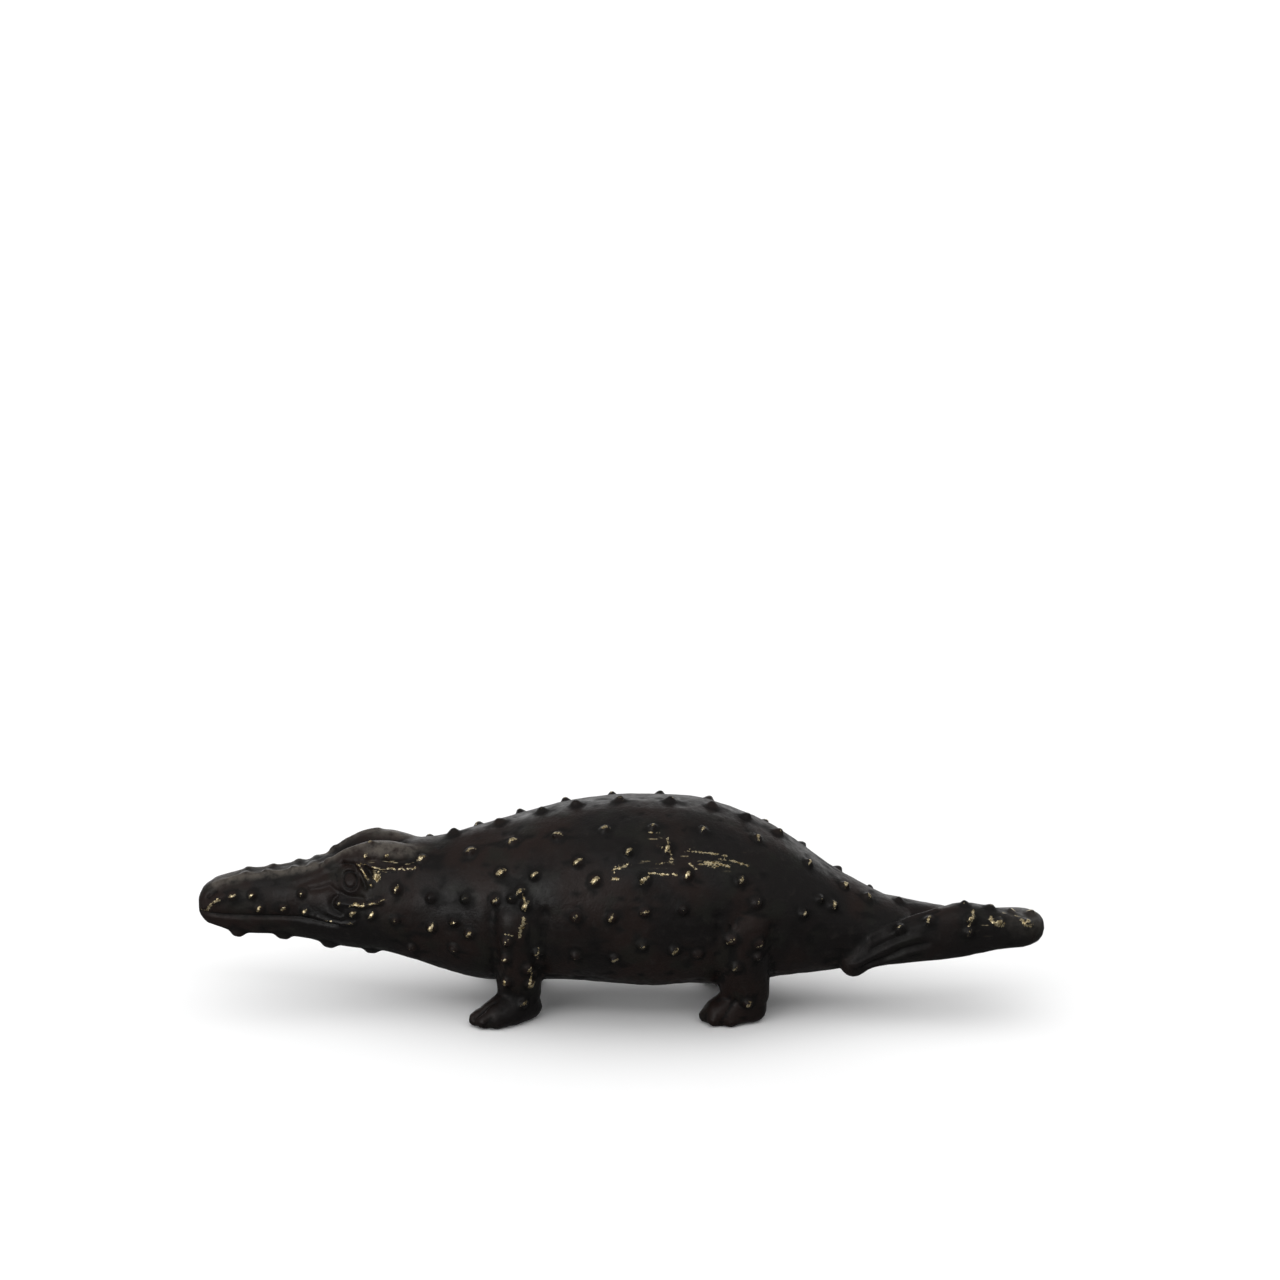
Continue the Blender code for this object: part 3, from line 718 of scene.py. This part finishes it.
def inside(place, zones):
    """1 in the middle of a zone, fading out to its edge."""
    best = np.zeros(len(place))
    for middle, half, strength in zones:
        away = np.linalg.norm((place - middle) / half, axis=1)
        best = np.maximum(best, strength * (1 - smooth_step(0.3, 1.1, away)))
    return best


def written(mesh, name, values):
    """Writes a value for each point of the mesh, for the finish to read."""
    mesh.attributes.new(name, "FLOAT", "POINT")
    mesh.attributes[name].data.foreach_set("value", values.astype(np.float32))


def worn_tips(points, seats):
    """A slanting smear of bare metal across each pellet's tip."""
    worn = np.zeros(len(points))
    for seat in seats:
        picked, along, aside, up = seat.around(points, 1.0)
        smear = np.exp(-((along / (0.4 * seat.width)) ** 2) - (aside / (0.16 * seat.width)) ** 2)
        worn[picked] = np.maximum(worn[picked], seat.wear**TIP_WEAR * smear * (up > 0.2 * seat.height))
    return worn


def shaded_rings(points, seats):
    """Painted shade round each pellet's foot."""
    painted_shade = np.zeros(len(points))
    for seat in seats:
        picked, along, aside, _ = seat.around(points, 1.2)
        ring = np.exp(-(((np.hypot(along, aside) / seat.width - 0.52) / 0.2) ** 2))
        painted_shade[picked] = np.maximum(painted_shade[picked], ring)
    return painted_shade


def proudness(mesh):
    """How far each point stands out of its neighbours' middle, in metres."""
    points = vertex_table(mesh, "co")
    ends = np.empty(len(mesh.edges) * 2, dtype=int)
    mesh.edges.foreach_get("vertices", ends)
    a, b = ends.reshape(-1, 2).T
    size = len(points)
    count = np.bincount(a, minlength=size) + np.bincount(b, minlength=size)
    around = np.stack([
        np.bincount(a, points[b, k], size) + np.bincount(b, points[a, k], size) for k in range(3)
    ], axis=1) / count[:, None]
    return ((points - around) * vertex_table(mesh, "normal")).sum(axis=1)


def marked(body, seats, shift):
    """Writes onto the skin where it is worn and scratched, the painted highlight on the brow's crest and
    skull top, and the painted shade in hollows, round the pellets' feet and between the brows.
    """
    mesh = body.data
    points = vertex_table(mesh, "co")
    normals = vertex_table(mesh, "normal")
    place = (points - shift) / UNIT
    worn = np.maximum(worn_tips(points, seats), worn_strokes(place[:, (0, 2)], normals))
    written(mesh, "worn", worn)
    written(mesh, "scratched", inside(place, SCRATCHED))
    left = place * (1, 0, 1) - np.abs(place) * (0, 1, 0)
    # Painted highlight: a lighter, thinner patina along the brow's crest
    crest_highlight = np.exp(-((from_line(left, CREST) / 0.5) ** 2))
    written(mesh, "polish_and_highlight", np.maximum(crest_highlight, inside(left, POLISHED_AND_HIGHLIT)))
    # Painted shade: darker in hollows, round the pellets' feet and between the brows
    hollow = smooth_step(0.1, 0.9, -proudness(mesh) / 0.00004)
    feet = RING_SHADE * shaded_rings(points, seats)
    written(mesh, "painted_shade_mask", np.maximum.reduce([hollow, feet, inside(place, BROW_SHADE)]))


# Finishes
BLACK_PATINA = (0.0062, 0.0052, 0.0050, 1)
BROWN_PATINA = (0.0112, 0.0064, 0.0052, 1)
GREEN_PATINA = (0.0085, 0.0086, 0.0066, 1)
# Lighter thin patina, also used as the painted highlight on the brow's crest and skull top
THIN_PATINA_AND_HIGHLIGHT = (0.125, 0.11, 0.094, 1)
DUST = (0.0150, 0.0125, 0.0110, 1)
# Colour of the painted shade in hollows, round the pellets' feet and between the brows
PAINTED_SHADE_COLOUR = (0.0030, 0.0026, 0.0024, 1)
DARK_BRASS = (0.24, 0.175, 0.075, 1)
BRIGHT_BRASS = (0.82, 0.70, 0.45, 1)


def added(tree, kind, settings=(), **inputs):
    """A node with its settings and inputs: an input is a value or another node's output."""
    node = tree.nodes.new(kind)
    for name, value in dict(settings).items():
        setattr(node, name, value)
    for name, value in inputs.items():
        socket = node.inputs[int(name[1:])] if name[0] == "i" and name[1:].isdigit() else node.inputs[name]
        if isinstance(value, bpy.types.NodeSocket):
            tree.links.new(value, socket)
        else:
            socket.default_value = value
    return node


def noise(tree, place, size, detail=2.0, rough=0.5, stretch=None):
    """Values near 0.5 that vary over a size given in metres."""
    if stretch is not None:
        place = added(tree, "ShaderNodeMapping", Vector=place, Scale=stretch).outputs["Vector"]
    node = added(tree, "ShaderNodeTexNoise", Vector=place, Scale=1 / size, Detail=detail, Roughness=rough)
    return node.outputs["Fac"]


def ranged(tree, value, low, high, to_low=0.0, to_high=1.0):
    """A value's range from low to high turned smoothly into another range."""
    smooth = {"interpolation_type": "SMOOTHSTEP"}
    node = added(tree, "ShaderNodeMapRange", smooth, i0=value, i1=low, i2=high, i3=to_low, i4=to_high)
    return node.outputs[0]


def sum_of(tree, *terms, operation="ADD"):
    """The terms added up, or joined by another operation."""
    total = terms[0]
    for term in terms[1:]:
        total = added(tree, "ShaderNodeMath", {"operation": operation}, i0=total, i1=term).outputs[0]
    return total


def blended(tree, share, first, second):
    """Two colours mixed; share 0 gives the first and 1 the second."""
    node = added(tree, "ShaderNodeMix", {"data_type": "RGBA"})
    for socket, value in ((node.inputs[0], share), (node.inputs[6], first), (node.inputs[7], second)):
        if isinstance(value, bpy.types.NodeSocket):
            tree.links.new(value, socket)
        else:
            socket.default_value = value
    return node.outputs[2]


def attribute(tree, name):
    """A value that the script wrote on the mesh's points."""
    return added(tree, "ShaderNodeAttribute", {"attribute_name": name}).outputs["Fac"]


def skin_colour(tree, place, mottle, painted_shade):
    """The patina: nearly black, brown and greenish in patches, dusty in spots, and darkened by painted shade
    in hollows, round the pellets' feet and between the brows.
    """
    patches = noise(tree, place, 0.014, 3.0)
    tint = noise(tree, place, 0.006, 2.0)
    brown = blended(tree, ranged(tree, patches, 0.4, 0.62), BLACK_PATINA, BROWN_PATINA)
    green = blended(tree, ranged(tree, tint, 0.5, 0.7, 0.0, 0.7), brown, GREEN_PATINA)
    dusty = blended(tree, ranged(tree, mottle, 0.55, 0.8, 0.0, 0.6), green, DUST)
    return patches, blended(tree, painted_shade, dusty, PAINTED_SHADE_COLOUR)


def bare_metal(tree, place, mottle):
    """Where brass shows: crumbs of the rubbed strokes and tips, and dashes in the scratched zones."""
    dashes = noise(tree, place, 0.0011, 2.0, 0.5, stretch=(0.3, 1.0, 1.6))
    crumbs = noise(tree, place, 0.0005, 4.0, 0.75)
    fine = ranged(tree, crumbs, 0.3, 0.7, -0.28, 0.28)
    coarse = ranged(tree, mottle, 0.3, 0.7, -0.14, 0.14)
    rubbed = sum_of(tree, attribute(tree, "worn"), sum_of(tree, fine, coarse))
    tips = ranged(tree, rubbed, 0.43, 0.58)
    lines = sum_of(tree, attribute(tree, "scratched"), ranged(tree, dashes, 0.64, 0.72), operation="MULTIPLY")
    return sum_of(tree, tips, lines, operation="MAXIMUM")


def bronze():
    """Nearly black wax patina over brass that shows through where hands have rubbed it, with painted shade in
    hollows and a painted highlight along the brow's crest and skull top.
    """
    material = bpy.data.materials.new("bronze")
    material.use_nodes = True
    tree = material.node_tree
    shader = tree.nodes["Principled BSDF"]
    place = added(tree, "ShaderNodeTexCoord").outputs["Object"]
    mottle = noise(tree, place, 0.0018, 3.0, 0.6)
    grain = noise(tree, place, 0.0004, 2.0)
    # Painted shade from the mask; it also roughens the surface there
    painted_shade = ranged(tree, attribute(tree, "painted_shade_mask"), 0.1, 1.0, 0.0, 0.85)
    patches, patina = skin_colour(tree, place, mottle, painted_shade)
    bare = bare_metal(tree, place, mottle)
    # Lighter thin patina: painted highlight on the brow's crest and skull top, real handling at the tail's
    # end
    thin_and_highlight = sum_of(tree, attribute(tree, "polish_and_highlight"), ranged(tree, mottle, 0.25, 0.7), operation="MULTIPLY")
    brass = blended(tree, ranged(tree, grain, 0.35, 0.65), DARK_BRASS, BRIGHT_BRASS)
    colour = blended(tree, bare, blended(tree, thin_and_highlight, patina, THIN_PATINA_AND_HIGHLIGHT), brass)
    tree.links.new(colour, shader.inputs["Base Color"])
    rubbed, handled_and_highlight = ranged(tree, bare, 0.2, 0.8, 0.0, 0.9), ranged(tree, thin_and_highlight, 0.0, 1.0, 0.0, 0.6)
    tree.links.new(sum_of(tree, rubbed, handled_and_highlight, operation="MAXIMUM"), shader.inputs["Metallic"])
    satin = sum_of(
        tree,
        ranged(tree, mottle, 0.3, 0.7, 0.32, 0.48),
        ranged(tree, patches, 0.3, 0.7, -0.04, 0.06),
        ranged(tree, painted_shade, 0.0, 1.0, 0.0, 0.2),
        ranged(tree, bare, 0.0, 1.0, 0.0, -0.12),
    )
    tree.links.new(satin, shader.inputs["Roughness"])
    shader.inputs["Specular IOR Level"].default_value = 0.2
    pits, pores = ranged(tree, mottle, 0.25, 0.75), ranged(tree, grain, 0.3, 0.7, 0.0, 0.25)
    bump = added(tree, "ShaderNodeBump", Strength=0.4, Distance=0.00012, Height=sum_of(tree, pits, pores))
    tree.links.new(bump.outputs["Normal"], shader.inputs["Normal"])
    return material


def paper():
    """The pale sheet that the animal stands on."""
    material = bpy.data.materials.new("pale_floor")
    material.use_nodes = True
    tree = material.node_tree
    shader = tree.nodes["Principled BSDF"]
    place = added(tree, "ShaderNodeTexCoord").outputs["Object"]
    tone = blended(tree, noise(tree, place, 0.05), (0.93, 0.93, 0.93, 1), (0.96, 0.96, 0.96, 1))
    tree.links.new(tone, shader.inputs["Base Color"])
    shader.inputs["Roughness"].default_value = 0.9
    shader.inputs["Specular IOR Level"].default_value = 0.1
    return material


# Floor, light and camera. The photograph's side in pixels, a pixel's size in metres at the
# animal, and the pixel where the point under the animal's middle stands
PHOTO_SIDE = 1280
PIXEL = 0.0002
STANDING_POINT = (620.7, 1001)
SKY_BELOW, SKY_ABOVE = 0.09, 0.36


def floor():
    """The sheet under the animal, which isn't part of it."""
    bm = bmesh.new()
    bmesh.ops.create_grid(bm, x_segments=4, y_segments=4, size=8.0)
    mesh = bpy.data.meshes.new("floor")
    bm.to_mesh(mesh)
    bm.free()
    sheet = bpy.data.objects.new("floor", mesh)
    bpy.context.scene.collection.objects.link(sheet)
    mesh.materials.append(paper())
    sheet.visible_glossy = False


def panel(name, azimuth, elevation, distance, size, power, glossy=True):
    """A soft light panel that looks at the animal; azimuth 0 is the photograph's side."""
    data = bpy.data.lights.new(name, "AREA")
    data.shape = "RECTANGLE"
    data.size, data.size_y = size
    data.energy = power
    lamp = bpy.data.objects.new(name, data)
    bpy.context.scene.collection.objects.link(lamp)
    a, e = math.radians(azimuth), math.radians(elevation)
    back = Vector((math.sin(a) * math.cos(e), -math.cos(a) * math.cos(e), math.sin(e)))
    lamp.location = back * distance
    lamp.rotation_euler = (-back).to_track_quat("-Z", "Y").to_euler()
    lamp.visible_glossy = glossy


def lights():
    """A white sky, dim from below, and four soft panels."""
    world = bpy.data.worlds.new("studio")
    world.use_nodes = True
    tree = world.node_tree
    sky = added(tree, "ShaderNodeTexCoord").outputs["Generated"]
    height = added(tree, "ShaderNodeSeparateXYZ", Vector=sky).outputs["Z"]
    background = tree.nodes["Background"]
    strength = ranged(tree, height, -0.25, 0.25, SKY_BELOW, SKY_ABOVE)
    tree.links.new(strength, background.inputs["Strength"])
    background.inputs["Color"].default_value = (1.0, 1.0, 1.0, 1)
    bpy.context.scene.world = world
    panel("overhead", 0, 89, 2.5, (5.0, 5.0), 88.0, glossy=False)
    panel("front strip", 0, 50, 1.2, (1.6, 0.3), 1.5)
    panel("back panel", 183, 14, 1.2, (2.0, 0.5), 4.0)
    panel("left panel", -40, 14, 1.2, (0.8, 0.8), 4.6)


def camera():
    """The photograph's viewing angle: from the animal's left, a little above."""
    azimuth, elevation, distance, middle = math.radians(2), math.radians(18), 1.1, PHOTO_SIDE / 2
    back = Vector((
        math.sin(azimuth) * math.cos(elevation),
        -math.cos(azimuth) * math.cos(elevation),
        math.sin(elevation),
    ))
    right = Vector((math.cos(azimuth), math.sin(azimuth), 0))
    up = right.cross(-back)
    x, y = STANDING_POINT
    target = right * (middle - x) * PIXEL + up * (y - middle) * PIXEL
    data = bpy.data.cameras.new("camera")
    data.sensor_width = 36
    data.lens = data.sensor_width * distance / (PHOTO_SIDE * PIXEL)
    seat = bpy.data.objects.new("camera", data)
    bpy.context.scene.collection.objects.link(seat)
    seat.location = target + back * distance
    seat.rotation_euler = (-back).to_track_quat("-Z", "Y").to_euler()
    bpy.context.scene.camera = seat
    bpy.context.scene.view_settings.view_transform = "Standard"


def main():
    """The scene round the animal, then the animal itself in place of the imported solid."""
    camera()
    floor()
    lights()
    body, seats = sculpted()
    shift = set_down(body, seats)
    marked(body, seats, shift)
    body.data.materials.clear()
    body.data.materials.append(bronze())
    body.data.shade_smooth()
    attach(body, "root")
    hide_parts("crocodile")


main()
